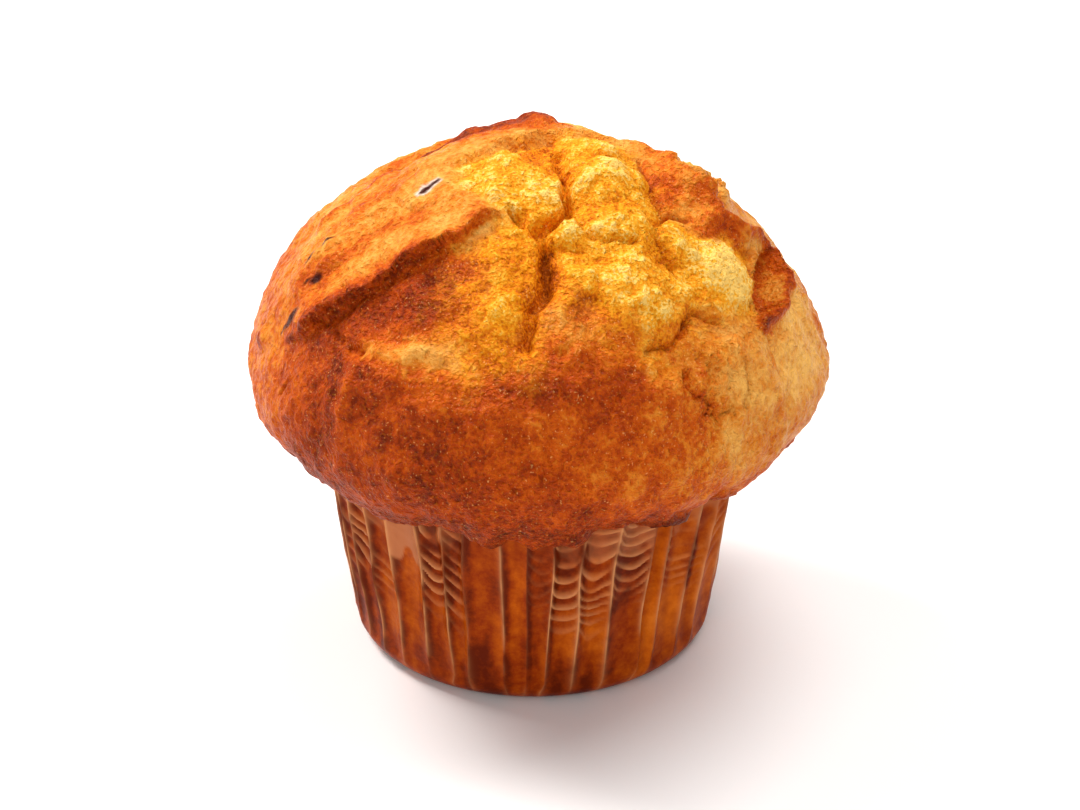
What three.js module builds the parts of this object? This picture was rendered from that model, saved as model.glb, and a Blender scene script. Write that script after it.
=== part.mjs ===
// A muffin baked in a fluted paper case. It is two pieces: the cake, which is one body of crumb
// and crust, and the pleated paper that it was baked in and still stands in.
// Millimetres, +Z up. The origin is the centre of the case's flat bottom and -Y is the front.

import * as THREE from "three";

// Sizes of the paper case.
const BASE_RADIUS = 25.0; // flat foot, measured out to the wall
const CORNER_RADIUS = 3.5; // soft turn from the foot into the wall
const RIM_RADIUS = 28.7; // top edge, over the folds' crests
const RIM_HEIGHT = 30.0;
const PAPER_THICKNESS = 0.4; // stands in for paper of about 0.06
const FLUTE_DEPTH = 1.3; // how far a trough lies inside the crests at the rim
const FLUTE_SHARPNESS = 1.6; // above 1 the crests are sharp and the troughs are round
const SCALLOP_DROP = 1.1; // how far the top edge sags between two crests

// Sizes of the cake.
const CLEARANCE = 0.35; // air between the cake and its paper
const CAP_RADIUS = 38.8; // widest part of the cap that rose over the rim
const CAP_UNDERCUT = 10.4; // height from the rim to the widest part
const CROWN_RISE = 31.4; // height from the widest part to the top of the plain dome
const UNDER_POWER = 1.95; // 2 would be an ellipse, less is nearer to a straight slope
const CROWN_POWER = 1.65;
const EDGE_WANDER = 0.7; // how far the widest part strays from a true circle
const WIDEST_HEIGHT = RIM_HEIGHT + CAP_UNDERCUT;

// Pleats. The front ones are of uneven width, as pressed paper is; the rest share what is left.
// Angles are degrees from the front, growing to the right.
const FRONT_CRESTS = [
  -73, -64, -54, -44, -33.4, -25.4, -19.5, -9, -1, 5.8, 14.3, 24.2, 35.2, 41, 53.4, 64.7, 77, 90,
];
const BACK_FLUTES = 19;
const BACK_STRAY = 1.1; // degrees that a back crest stands off its even place
const FLUTE_SHARES = [0, 0.25, 0.5, 0.75]; // crest, flank, trough, flank

// Levels up the case: 0 to 1 is round the corner, 1 to 2 is up the wall.
const CASE_LEVELS = [0, 0.5, 1, 1.25, 1.6, 2];
const FLUTES_START = 0.6; // level where the folds begin to show
const UNDER_TURNS = [22, 45, 67, 90]; // degrees round the cap's underside
const CROWN_STEP = 2.2; // distance between two rings over the crown
const RELIEF_BLUR = 1.7;

// Places on the crown are [right, back], measured over its surface from the top of the dome.
// The crust burst here, and the soft crumb came up through the opening.
const BURST = [
  [-9.5, -4], [-6, -2], [-2, 1], [2, 5], [8, 7], [13, 5], [14.5, 0], [17, -6], [18.5, -10],
  [22, -10.5], [27, -9], [31.5, -7], [33, -13], [33.5, -18], [30, -22], [25, -24.5], [22, -28.5],
  [18, -31.5], [10, -31], [4, -30], [1, -34], [-4, -37], [-8, -38], [-12, -35], [-10.5, -28],
  [-9.5, -20], [-4.5, -15], [-10, -10],
];
const BURST_DEPTH = 2.6;

// Each lobe of risen crumb: [right, back, half width, half length, height above the burst's bed].
const CRUMB_LOBES = [
  [-4.5, -9, 6.2, 7.2, 4.0], [0.8, -11.5, 3.4, 6.5, 3.8], [10, 1, 6.2, 6, 4.6],
  [11.5, -6.5, 6.2, 6.5, 5.2], [12.5, -14.5, 6, 6.5, 4.6], [5, -17.5, 3.6, 4, 3.6],
  [15.5, -25, 6.6, 6.5, 5.2], [7.5, -24, 4.6, 5, 3.6], [22, -23.5, 3.6, 3.4, 3.8],
  [27, -15, 7, 7.2, 5.0], [20.5, -14.5, 4.6, 5, 4.0], [-5.5, -25, 5.2, 12, 3.4],
];

// Splits between the lobes: the path, the half width and the depth.
const SPLITS = [
  { path: [[3.6, -1], [4, -8], [4.2, -12], [5, -14], [3.6, -15.4]], reach: 2.6, depth: 2.8 },
  { path: [[1.2, -18.5], [3, -21], [2.6, -27], [0, -29], [-0.6, -34]], reach: 2.8, depth: 2.6 },
  { path: [[16.5, -32.2], [20.5, -30], [23, -26.5]], reach: 2.2, depth: 1.2 },
];

// A flap of crust that lifted on the right, and the hollow left behind it.
const FLAP_EDGE = [
  [13.5, 8], [18, 3], [21, -2.5], [25, -6], [29.5, -5], [32.5, -0.5], [36.5, 1.5], [40, -3],
  [41, -10], [38.5, -16], [35, -20],
];
const FLAP_HEIGHT = 2.6;
const FLAP_REACH = 4.2;
const HOLLOW = { right: 35.6, back: -8, halfWidth: 3.8, halfLength: 9, depth: 4.2 };

// The left crust is a plate. It ends at the front in a torn edge that stands over a slope.
const PLATE_EDGE = [
  [-48, -12], [-41, -15], [-37.5, -16.4], [-32.5, -17.8], [-26, -18.5], [-21, -18], [-17, -17.2],
  [-13, -17.4], [-10, -18], [-8, -15.8], [-4, -13.5],
];
const PLATE_STEP = 2.0;
const PLATE_FADE = 6.0;

// Low swellings of the crust: [right, back, half width, half length, height].
const SWELLINGS = [
  [-21, 6, 4, 5, 0.9], [-9, 10, 5, 5, 0.7], [-0.5, 11, 4, 5.5, 1.5], [12, 12, 8, 6, 0.8],
  [24, 6, 9, 8, 1.4], [-33, -6, 12, 9, 0.8], [-25.5, -34, 9, 4, 0.9], [34, -27, 9, 7, 0.8],
];

const radians = THREE.MathUtils.degToRad;
const clamp = THREE.MathUtils.clamp;
const ease = (from, to, x) => THREE.MathUtils.smoothstep(x, from, to);

// The columns that every ring of the case and of the cake's foot shares. A fold of 1 is on a
// crest and a fold of 0 is at the bottom of a trough.
function fluteColumns() {
  const [first, last] = [FRONT_CRESTS[0], FRONT_CRESTS.at(-1)];
  const step = (360 - (last - first)) / BACK_FLUTES;
  const crests = [...FRONT_CRESTS];
  for (let i = 1; i < BACK_FLUTES; i += 1) {
    crests.push(last + step * i + BACK_STRAY * Math.sin(2.4 * i));
  }
  return crests.flatMap((start, i) => {
    const end = i + 1 < crests.length ? crests[i + 1] : first + 360;
    return FLUTE_SHARES.map((share) => ({
      angle: radians(start + (end - start) * share - 90),
      fold: Math.abs(1 - 2 * share) ** FLUTE_SHARPNESS,
    }));
  });
}

const COLUMNS = fluteColumns();

function onCircle(angle, radius, height) {
  return new THREE.Vector3(radius * Math.cos(angle), radius * Math.sin(angle), height);
}

// Radius and height of the case at one level, on a surface that lies `inset` inside the paper's
// outer face. The outer face, the inner face and the cake's foot are this one shape at three
// insets, so they stay parallel all the way up.
function caseSection(level, fold, inset) {
  const trough = FLUTE_DEPTH * ease(FLUTES_START, 2, level) * (1 - fold);
  if (level < 1) {
    const turn = (level * Math.PI) / 2;
    const arc = CORNER_RADIUS - inset;
    const centre = BASE_RADIUS - CORNER_RADIUS;
    return { radius: centre + arc * Math.sin(turn) - trough, height: CORNER_RADIUS - arc * Math.cos(turn) };
  }
  const share = level - 1;
  const top = RIM_HEIGHT - SCALLOP_DROP * (1 - fold);
  return {
    radius: THREE.MathUtils.lerp(BASE_RADIUS, RIM_RADIUS, share) - inset - trough,
    height: THREE.MathUtils.lerp(CORNER_RADIUS, top, share),
  };
}

function caseRing(level, inset) {
  return COLUMNS.map(({ angle, fold }) => {
    const { radius, height } = caseSection(level, fold, inset);
    return onCircle(angle, radius, height);
  });
}

// Joins two rings of any two counts with triangles, stepping each time on the ring that is
// further behind. A ring of one point is a pole.
function joinRings(lower, upper, triangles) {
  const [lowerSteps, upperSteps] = [lower, upper].map((ring) => (ring.length > 1 ? ring.length : 0));
  let [i, j] = [0, 0];
  while (i < lowerSteps || j < upperSteps) {
    const stepLower = j >= upperSteps || (i < lowerSteps && (i + 1) / lowerSteps <= (j + 1) / upperSteps);
    const [a, b] = [lower[i % lower.length], upper[j % upper.length]];
    if (stepLower) {
      i += 1;
      triangles.push(a, lower[i % lower.length], b);
    } else {
      j += 1;
      triangles.push(a, upper[j % upper.length], b);
    }
  }
}

// A closed skin through a list of rings that starts and ends on a pole.
function skin(rings) {
  const triangles = [];
  rings.slice(1).forEach((ring, i) => joinRings(rings[i], ring, triangles));
  const geometry = new THREE.BufferGeometry().setFromPoints(triangles);
  geometry.computeVertexNormals();
  return geometry;
}

// Distance from a place on the crown to a path drawn over it.
function distanceToPath(path, x, y) {
  let nearest = Infinity;
  for (let i = 1; i < path.length; i += 1) {
    const [x0, y0] = path[i - 1];
    const [dx, dy] = [path[i][0] - x0, path[i][1] - y0];
    const share = clamp(((x - x0) * dx + (y - y0) * dy) / (dx * dx + dy * dy), 0, 1);
    nearest = Math.min(nearest, Math.hypot(x - x0 - share * dx, y - y0 - share * dy));
  }
  return nearest;
}

// Distance inside a closed outline, below zero outside it.
function depthInside(outline, x, y) {
  let inside = false;
  outline.forEach(([x1, y1], i) => {
    const [x0, y0] = outline.at(i - 1);
    if (y0 > y !== y1 > y && x < x0 + ((y - y0) * (x1 - x0)) / (y1 - y0)) inside = !inside;
  });
  const away = distanceToPath([...outline, outline[0]], x, y);
  return inside ? away : -away;
}

// Height of the highest rounded lobe over a place.
function lobeHeight(lobes, x, y) {
  return Math.max(0, ...lobes.map(([right, back, halfWidth, halfLength, height]) => {
    const away = Math.hypot((x - right) / halfWidth, (y - back) / halfLength);
    return height * Math.max(0, 1 - away * away);
  }));
}

// How far back the torn edge of the left plate lies at a place to the right or left.
function plateEdgeBack(x) {
  const next = clamp(PLATE_EDGE.findIndex(([right]) => right > x), 1, PLATE_EDGE.length - 1);
  const [[x0, y0], [x1, y1]] = [PLATE_EDGE[next - 1], PLATE_EDGE[next]];
  return THREE.MathUtils.mapLinear(clamp(x, x0, x1), x0, x1, y0, y1);
}

// Step at the torn edge: up on the plate behind it, down on the slope before it.
function plateRelief(x, y) {
  const behind = y - plateEdgeBack(x);
  const extent = ease(-48, -38, x) * (1 - ease(-6, -2, x));
  return PLATE_STEP * extent * Math.tanh(behind / 1.7) * Math.exp(-Math.abs(behind) / PLATE_FADE);
}

// How far the real crust and crumb stand off the plain dome at a place on the crown.
function crownRelief(x, y) {
  const opened = ease(-2, 2.5, depthInside(BURST, x, y));
  let relief = opened * (lobeHeight(CRUMB_LOBES, x, y) - BURST_DEPTH) + plateRelief(x, y);
  relief += (1 - opened) * lobeHeight(SWELLINGS, x, y);
  relief += FLAP_HEIGHT * (1 - ease(0, FLAP_REACH, distanceToPath(FLAP_EDGE, x, y)));
  SPLITS.forEach(({ path, reach, depth }) => {
    relief -= depth * (1 - ease(0, reach, distanceToPath(path, x, y)));
  });
  const away = Math.hypot((x - HOLLOW.right) / HOLLOW.halfWidth, (y - HOLLOW.back) / HOLLOW.halfLength);
  return relief - HOLLOW.depth * (1 - ease(0.2, 1.25, away));
}

// The relief averaged over one step of the mesh, so that nothing in it is finer than the rings.
function settledRelief(x, y) {
  const around = [0, 60, 120, 180, 240, 300].map((turn) => (
    crownRelief(x + RELIEF_BLUR * Math.cos(radians(turn)), y + RELIEF_BLUR * Math.sin(radians(turn)))
  ));
  return (crownRelief(x, y) + around.reduce((sum, height) => sum + height)) / 7;
}

// The crown's half section as points with the distance from the top measured along it.
function crownLine() {
  const samples = 240;
  const power = 2 / CROWN_POWER;
  const line = [];
  for (let i = 0; i <= samples; i += 1) {
    const turn = (Math.PI / 2) * (1 - i / samples);
    const point = new THREE.Vector2(
      CAP_RADIUS * Math.max(0, Math.cos(turn)) ** power,
      WIDEST_HEIGHT + CROWN_RISE * Math.sin(turn) ** power,
    );
    const before = line.at(-1);
    line.push({ point, arc: before ? before.arc + point.distanceTo(before.point) : 0 });
  }
  return line;
}

const CROWN_LINE = crownLine();
const CROWN_ARC = CROWN_LINE.at(-1).arc;

// Point and outward direction on the plain dome at a distance from its top.
function domeAt(arc) {
  const next = clamp(CROWN_LINE.findIndex((step) => step.arc >= arc), 1, CROWN_LINE.length - 1);
  const [from, to] = [CROWN_LINE[next - 1], CROWN_LINE[next]];
  const point = from.point.clone().lerp(to.point, (arc - from.arc) / (to.arc - from.arc));
  const along = to.point.clone().sub(from.point).normalize();
  return { point, outward: new THREE.Vector2(-along.y, along.x) };
}

// Slow wander of the cap's outline round the cake.
function edgeWander(angle) {
  return EDGE_WANDER * (Math.sin(3 * angle + 0.9) + 0.6 * Math.sin(7 * angle + 2.2)) / 1.6;
}

// One ring over the crown. It has fewer points near the top, so that they stay as far apart.
function crownRing(arc) {
  const { point, outward } = domeAt(arc);
  let columns = COLUMNS;
  while ((2 * Math.PI * point.x) / columns.length < CROWN_STEP / 2.4 && columns.length > 12) {
    columns = columns.filter((_, i) => i % 2 === 0);
  }
  const settled = 1 - ease(CROWN_ARC - 7, CROWN_ARC, arc);
  return columns.map(({ angle }) => {
    const relief = settled * settledRelief(arc * Math.cos(angle), arc * Math.sin(angle));
    const wander = edgeWander(angle) * (point.x / CAP_RADIUS) ** 2;
    return onCircle(angle, point.x + outward.x * relief + wander, point.y + outward.y * relief);
  });
}

// The cap's underside, from just outside the case's top edge to the widest part.
function underRing(turn, start) {
  const power = 2 / UNDER_POWER;
  return COLUMNS.map(({ angle }, i) => {
    const radius = Math.hypot(start[i].x, start[i].y);
    const out = (CAP_RADIUS + edgeWander(angle) - radius) * Math.sin(turn) ** power;
    const down = (WIDEST_HEIGHT - start[i].z) * Math.max(0, Math.cos(turn)) ** power;
    return onCircle(angle, radius + out, WIDEST_HEIGHT - down);
  });
}

// The cake: a foot moulded by the pleats, a cap that rolled out over the rim, and the crown.
function cake() {
  const inset = PAPER_THICKNESS + CLEARANCE;
  const lift = new THREE.Vector3(0, 0, CLEARANCE);
  const foot = CASE_LEVELS.slice(0, -1).map((level) => caseRing(level, inset));
  const overRim = [inset, -CLEARANCE].map((side) => caseRing(2, side).map((point) => point.add(lift)));
  const under = UNDER_TURNS.map((turn) => underRing(radians(turn), overRim[1]));
  const steps = Math.round(CROWN_ARC / CROWN_STEP);
  const crown = [];
  for (let i = steps - 1; i > 0; i -= 1) crown.push(crownRing((CROWN_ARC * i) / steps));
  const top = onCircle(0, 0, domeAt(0).point.y + settledRelief(0, 0));
  return skin([[onCircle(0, 0, inset)], ...foot, ...overRim, ...under, ...crown, [top]]);
}

// The paper case: its outer face up to the rim, then its inner face back down to the floor.
function paperCase() {
  const outside = CASE_LEVELS.map((level) => caseRing(level, 0));
  const inside = CASE_LEVELS.toReversed().map((level) => caseRing(level, PAPER_THICKNESS));
  const floor = [onCircle(0, 0, PAPER_THICKNESS)];
  return skin([[onCircle(0, 0, 0)], ...outside, ...inside, floor]);
}

function piece(name, geometry, color, roughness) {
  const material = new THREE.MeshStandardMaterial({ color, roughness, metalness: 0 });
  const mesh = new THREE.Mesh(geometry, material);
  mesh.name = name;
  return mesh;
}

const muffin = new THREE.Group();
muffin.name = "muffin_in_paper_case";
muffin.add(piece("muffin", cake(), 0xc9792e, 0.7));
muffin.add(piece("paper_case", paperCase(), 0x9c4a1c, 0.45));

export default muffin;
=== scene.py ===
# %% [markdown]
# # A muffin in its paper case
# The real thing is two pieces. The cake was spooned into a pleated paper case as batter, rose over
# the case's rim in the oven, and burst open on top. The case is a disc of greaseproof paper that
# was pressed into pleats. This lesson builds both as surfaces worked out with numpy, and gives them
# procedural materials. The CAD model comes first, because it says where everything is and how big.

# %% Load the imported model
import math

import bpy
import numpy as np
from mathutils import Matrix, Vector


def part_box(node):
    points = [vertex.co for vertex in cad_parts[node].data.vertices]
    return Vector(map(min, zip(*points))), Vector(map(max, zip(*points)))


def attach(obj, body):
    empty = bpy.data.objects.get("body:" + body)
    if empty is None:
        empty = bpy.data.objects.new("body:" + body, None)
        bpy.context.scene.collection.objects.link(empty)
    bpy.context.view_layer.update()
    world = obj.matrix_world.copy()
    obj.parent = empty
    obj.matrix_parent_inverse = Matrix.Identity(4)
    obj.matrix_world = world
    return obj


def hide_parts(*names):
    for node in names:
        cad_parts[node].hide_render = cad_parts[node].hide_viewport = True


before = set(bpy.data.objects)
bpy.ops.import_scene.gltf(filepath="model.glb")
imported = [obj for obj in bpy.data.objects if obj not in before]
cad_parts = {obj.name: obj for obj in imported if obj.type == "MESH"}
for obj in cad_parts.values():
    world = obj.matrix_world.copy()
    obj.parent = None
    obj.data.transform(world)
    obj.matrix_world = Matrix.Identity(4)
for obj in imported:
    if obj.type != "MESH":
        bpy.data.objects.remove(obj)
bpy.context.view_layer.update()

MM = 0.001
CASE_BOX = np.array(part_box("paper_case")) / MM
print("case box, mm:", CASE_BOX.round(1).tolist())

# %% [markdown]
# ## Camera, floor and light
# Food is often shot with a long lens from a little above, on a white table under large soft
# lights. Area lights are the usual way to get soft shadows in Blender: the bigger the light, the
# softer the edge. The main one hangs behind and to the left, so the crown glows and the front of
# the cap falls into its own shade.

# %% Camera
CAMERA_BACK, CAMERA_UP = 385.8 * MM, 234.6 * MM
CAMERA_TILT = 0.481  # radians below level
view = bpy.data.cameras.new("view")
view.lens = 106.6
view.sensor_width = 36.0
view.shift_x, view.shift_y = 0.0066, -0.0044
camera = bpy.data.objects.new("camera", view)
camera.location = (0.0, -CAMERA_BACK, CAMERA_UP)
camera.rotation_euler = (math.pi / 2 - CAMERA_TILT, 0.0, 0.0)
bpy.context.collection.objects.link(camera)
bpy.context.scene.camera = camera
bpy.context.scene.view_settings.view_transform = "Standard"
print("camera distance, mm:", round(math.hypot(CAMERA_BACK, CAMERA_UP) / MM))

# %% Soft lights
def soft_light(name, place, aim, width, watts, tint):
    """A square area light of a given width, turned from its place to face its aim."""
    lamp = bpy.data.lights.new(name, "AREA")
    lamp.size, lamp.energy, lamp.color = width, watts, tint
    made = bpy.data.objects.new(name, lamp)
    made.location = place
    turn = np.array(aim) - np.array(place)
    flat = math.hypot(turn[0], turn[1])
    made.rotation_euler = (math.atan2(flat, -turn[2]), 0.0, math.atan2(-turn[0], turn[1]))
    bpy.context.collection.objects.link(made)


CROWN = (0.0, 0.0, 0.05)
soft_light("window", (-0.45, 0.28, 0.60), CROWN, 0.28, 6.6, (1.0, 0.98, 0.96))
soft_light("ceiling", (0.22, 0.22, 0.80), CROWN, 0.55, 6.0, (1.0, 0.99, 0.98))
soft_light("front_fill", (-0.15, -0.80, 0.45), CROWN, 0.50, 2.5, (1.0, 0.99, 0.98))
world = bpy.data.worlds.new("room")
world.use_nodes = True
world.node_tree.nodes["Background"].inputs["Color"].default_value = (1.0, 0.99, 0.985, 1.0)
world.node_tree.nodes["Background"].inputs["Strength"].default_value = 0.34
bpy.context.scene.world = world

# %% [markdown]
# ## Helpers for whole arrays
# Every shape below is a function of two numbers, worked out for all of its points at once. A few
# small tools are enough: an S-curve to blend with, smooth noise for unevenness, puffy noise and
# rounded clumps for risen crumb, and the distance to a line drawn on the surface. The noise is
# built from a hash, a recipe that turns whole numbers into a random-looking one, so it comes out
# the same on every run.

# %% Blending and noise
def ease(low, high, x):
    """0 below low, 1 above high, and the S-curve 3t^2 - 2t^3 between them."""
    t = np.clip((x - low) / (high - low), 0.0, 1.0)
    return t * t * (3.0 - 2.0 * t)


def fade(low, high, x):
    """The other way round: 1 below low and 0 above high."""
    return 1.0 - ease(low, high, x)


def scatter(i, j, k, seed):
    """A repeatable random number from 0 to 1 for whole numbers i, j and k."""
    mixed = (i.astype(np.int64) * 73856093) ^ (j.astype(np.int64) * 19349663)
    mixed = (mixed ^ (k.astype(np.int64) * 83492791) ^ (seed * 265443576)) & 0xFFFFFFFF
    mixed = ((mixed ^ (mixed >> 15)) * 2246822519) & 0xFFFFFFFF
    mixed = ((mixed ^ (mixed >> 13)) * 3266489917) & 0xFFFFFFFF
    return ((mixed ^ (mixed >> 16)) & 0xFFFFFF) / float(0xFFFFFF)


def noise(x, y, z, size, seed):
    """Random values from -1 to 1 at the corners of a lattice, blended across each cell."""
    places = [np.asarray(axis, float) / size for axis in np.broadcast_arrays(x, y, z)]
    cells = [np.floor(place) for place in places]
    shares = [ease(0.0, 1.0, place - cell) for place, cell in zip(places, cells)]
    total = np.zeros_like(places[0])
    for a in (0, 1):
        for b in (0, 1):
            for c in (0, 1):
                weight = 1.0
                for corner, share in zip((a, b, c), shares):
                    weight = weight * (share if corner else 1.0 - share)
                total += weight * scatter(cells[0] + a, cells[1] + b, cells[2] + c, seed)
    return 2.0 * total - 1.0


def rough(x, y, z, size, seed, octaves=3):
    """Noise on top of noise: each layer is half as wide and half as strong as the last."""
    layers = range(octaves)
    return sum(noise(x, y, z, size / 2**n, seed + n) / 2**n for n in layers)


PUFF_MEAN = 0.45


def puffs(x, y, z, size, seed, octaves=3):
    """Puffy noise about 0: how far noise is from 0, less its mean, so lumps meet in creases."""
    layers = range(octaves)
    return sum(np.abs(noise(x, y, z, size / 2**n, seed + n)) / 2**n for n in layers) - PUFF_MEAN


CLUMP_REACH = 0.72  # squared distance, in cells, at which a clump ends


def clumps(x, y, size, seed):
    """Rounded bumps: the root of 1 minus the squared distance to the nearest stray centre."""
    cell_x, cell_y = np.floor(x / size), np.floor(y / size)
    nearest = np.full(np.shape(x), np.inf)
    for a in (-1, 0, 1):
        for b in (-1, 0, 1):
            i, j = cell_x + a, cell_y + b
            away_x = i + 0.15 + 0.7 * scatter(i, j, i * 0, seed) - x / size
            away_y = j + 0.15 + 0.7 * scatter(i, j, i * 0, seed + 1) - y / size
            nearest = np.minimum(nearest, away_x**2 + away_y**2)
    return np.sqrt(np.clip(1.0 - nearest / CLUMP_REACH, 0.0, 1.0))


sample = noise(np.linspace(0, 90, 999), 0.0, 0.0, 3.0, 1)
print("noise runs from", sample.min().round(2), "to", sample.max().round(2))

# %% Distances on a surface
def path_distance(path, x, y):
    """Distance to the nearest point of a path of straight steps."""
    nearest = np.full(np.shape(x), np.inf)
    for (x0, y0), (x1, y1) in zip(path[:-1], path[1:]):
        dx, dy = x1 - x0, y1 - y0
        share = np.clip(((x - x0) * dx + (y - y0) * dy) / (dx * dx + dy * dy), 0.0, 1.0)
        nearest = np.minimum(nearest, np.hypot(x - x0 - share * dx, y - y0 - share * dy))
    return nearest


def depth_inside(outline, x, y):
    """Distance to a closed outline, above zero inside it and below zero outside."""
    inside = np.zeros(np.shape(x), bool)
    closed = outline + outline[:1]
    for (x0, y0), (x1, y1) in zip(closed[:-1], closed[1:]):
        if y0 != y1:
            crossed = (y0 > y) != (y1 > y)
            inside ^= crossed & (x < x0 + (y - y0) * (x1 - x0) / (y1 - y0))
    return np.where(inside, 1.0, -1.0) * path_distance(closed, x, y)


def oval(x, y, right, back, half_width, half_length):
    """Distance from an oval's centre, counted so that its edge is at 1."""
    return np.hypot((x - right) / half_width, (y - back) / half_length)


square = [(-1, -1), (1, -1), (1, 1), (-1, 1)]
print("middle of a square of side 2 is", depth_inside(square, np.zeros(1), np.zeros(1))[0], "deep")

# %% [markdown]
# ## The paper case
# A pressed case has a flat foot, a soft corner and a wall of pleats that fan out towards the rim.
# The paper stands in narrow crests with wide round troughs between, where the batter pushed it
# out. Grease has soaked in, and as the cake shrank the paper creased into stacked smiles. A cloth
# simulation could fold it, but where each pleat stands is known and the fold follows a simple
# rule, so the wall is a function of the angle round and the level up. It is drawn as one closed
# skin: up the outside, over the rim and down the inside.

# %% Pleats
BASE_RADIUS, CORNER_RADIUS = 25.0, 3.5
RIM_RADIUS = (CASE_BOX[1][0] - CASE_BOX[0][0]) / 2
RIM_HEIGHT = CASE_BOX[1][2]
PAPER = 0.16  # drawn a little thicker than the real 0.06, so that the rim shows an edge
FLUTE_DEPTH, SCALLOP_DROP = 1.5, 1.2
FRONT_CRESTS = [
    -73, -64, -54, -44, -33.4, -25.4, -19.5, -9, -1, 5.8, 14.3, 24.2, 35.2, 41, 53.4, 64.7, 77, 90,
]
BACK_FLUTES, BACK_STRAY = 19, 1.1
# Two crests near the middle are hardly pressed in: their number and how strongly their painted
# highlight line shows.
SOFT_CRESTS = {6: 0.3, 8: 0.12}
# Each front pleat: how deep, how creased, how dry at the top and how much the cake glows through.
FRONT_PLEATS = [
    (0.8, 0.4, 0.3, 0.35), (1.0, 0.9, 0.5, 0.30), (1.0, 0.4, 0.3, 0.60), (0.9, 0.1, 1.0, 0.45),
    (1.0, 1.0, 0.1, 0.22), (0.9, 1.0, 0.3, 0.22), (0.5, 0.0, 0.0, 0.32), (0.35, 0.0, 0.0, 0.36),
    (0.5, 0.1, 0.0, 0.30), (1.0, 1.0, 0.2, 0.25), (1.1, 1.0, 0.4, 0.35), (0.9, 0.8, 0.5, 0.22),
    (1.2, 0.0, 0.0, 0.95), (1.3, 0.7, 0.4, 0.70), (1.2, 0.2, 0.6, 0.50), (1.0, 0.6, 0.4, 0.65),
    (1.0, 0.5, 0.3, 0.60),
]
# The crests lean sideways towards the foot: angle at the rim, and degrees of lean.
LEAN_AT = [-180, -20, -9, 0, 5.8, 14.3, 35.2, 41, 53.4, 64.7, 90, 180]
LEAN_BY = [0, 0, 0.8, -2.5, -5, -4.7, -3.4, -3.7, -6.2, -10, -6, 0]


def crest_angles():
    """Degrees from the front: the uneven front crests, then even ones that stray by a sine."""
    count = np.arange(1, BACK_FLUTES)
    step = (360.0 - (FRONT_CRESTS[-1] - FRONT_CRESTS[0])) / BACK_FLUTES
    back = FRONT_CRESTS[-1] + step * count + BACK_STRAY * np.sin(2.4 * count)
    return np.concatenate([FRONT_CRESTS, back, [FRONT_CRESTS[0] + 360.0]])


CRESTS = crest_angles()
PLEATS = len(CRESTS) - 1
# The back pleats draw the same four values by chance: the lowest, and how far they may go up.
chance = scatter(np.arange(PLEATS), np.zeros(PLEATS), np.arange(4)[:, None], 5)
lowest, span = np.array([[0.8, -0.4, 0.0, 0.1], [0.5, 1.4, 0.8, 0.7]])[..., None]
PLEAT_TABLE = np.clip(lowest + span * chance, 0.0, 1.3)
PLEAT_TABLE[:, : len(FRONT_PLEATS)] = np.array(FRONT_PLEATS).T
DEEP, CREASED, DRY, GLOWING = PLEAT_TABLE
CREST_SHARPNESS = np.array([SOFT_CRESTS.get(n, 1.0) for n in range(PLEATS + 1)])
print(PLEATS, "pleats, mean width at the rim, mm:", round(2 * math.pi * RIM_RADIUS / PLEATS, 1))


# %% The wall as a function of angle and level
FOLD_POWER = 2.4
FOLDS_FROM, FOLDS_TO = 0.6, 1.6  # the levels between which the folds grow
LESS_AT_FOOT = 0.28


def pleat_at(degrees):
    """Which pleat an angle falls in, and the share of the way across it from crest to crest."""
    turned = (degrees - CRESTS[0]) % 360.0 + CRESTS[0]
    along = np.interp(turned, CRESTS, np.arange(PLEATS + 1))
    number = np.minimum(np.floor(along), PLEATS - 1)
    return number, along - number


def pleat_value(values, degrees):
    """The value of the pleat that an angle falls in."""
    return values[pleat_at(degrees)[0].astype(int)]


def fold_at(degrees):
    """1 on a crest and 0 in a trough: the distance from the pleat's middle, to a power."""
    return np.abs(1.0 - 2.0 * pleat_at(degrees)[1]) ** FOLD_POWER


def leaned(degrees, level):
    """The angle, turned by the lean that grows from the rim to the foot, and by a small wander."""
    turned = (degrees + 180.0) % 360.0 - 180.0
    lean = np.interp(turned, LEAN_AT, LEAN_BY) * (1.0 - 0.5 * level)
    wander = 0.7 * noise(turned, level * 15.0, 0.0, 5.0, 6) * fade(170, 180, np.abs(turned))
    return degrees + lean + wander


def case_section(degrees, level, inset):
    """Radius and height: a quarter circle for levels 0 to 1, a straight slope for 1 to 2, less a
    trough that deepens from the corner up."""
    fold = fold_at(degrees)
    growth = ease(FOLDS_FROM, FOLDS_TO, level) * (1.0 - LESS_AT_FOOT * (1.0 - level / 2))
    trough = FLUTE_DEPTH * pleat_value(DEEP, degrees) * growth * (1.0 - fold)
    arc = CORNER_RADIUS - inset
    turn = np.minimum(level, 1.0) * math.pi / 2
    corner_radius = BASE_RADIUS - CORNER_RADIUS + arc * np.sin(turn)
    corner_height = CORNER_RADIUS - arc * np.cos(turn)
    share = np.clip(level - 1.0, 0.0, 1.0)
    top = RIM_HEIGHT - SCALLOP_DROP * (1.0 - fold)
    radius = corner_radius + share * (RIM_RADIUS - BASE_RADIUS) - trough
    return radius, corner_height + share * (top - CORNER_RADIUS)


radius, height = case_section(np.array([-73.0]), np.array([2.0]), 0.0)
print("rim crest at radius and height, mm:", radius.round(2), height.round(2))

# %% Creases and unevenness of the paper
SMILE_SPACING, SMILE_DIP, SMILE_LEAN = 2.1, 1.9, 1.6
CREASE_DEPTH = 0.55


def pleat_chance(number, seed):
    """A random number from 0 to 1 for each pleat."""
    return scatter(number, number * 0, number * 0, seed)


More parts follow.
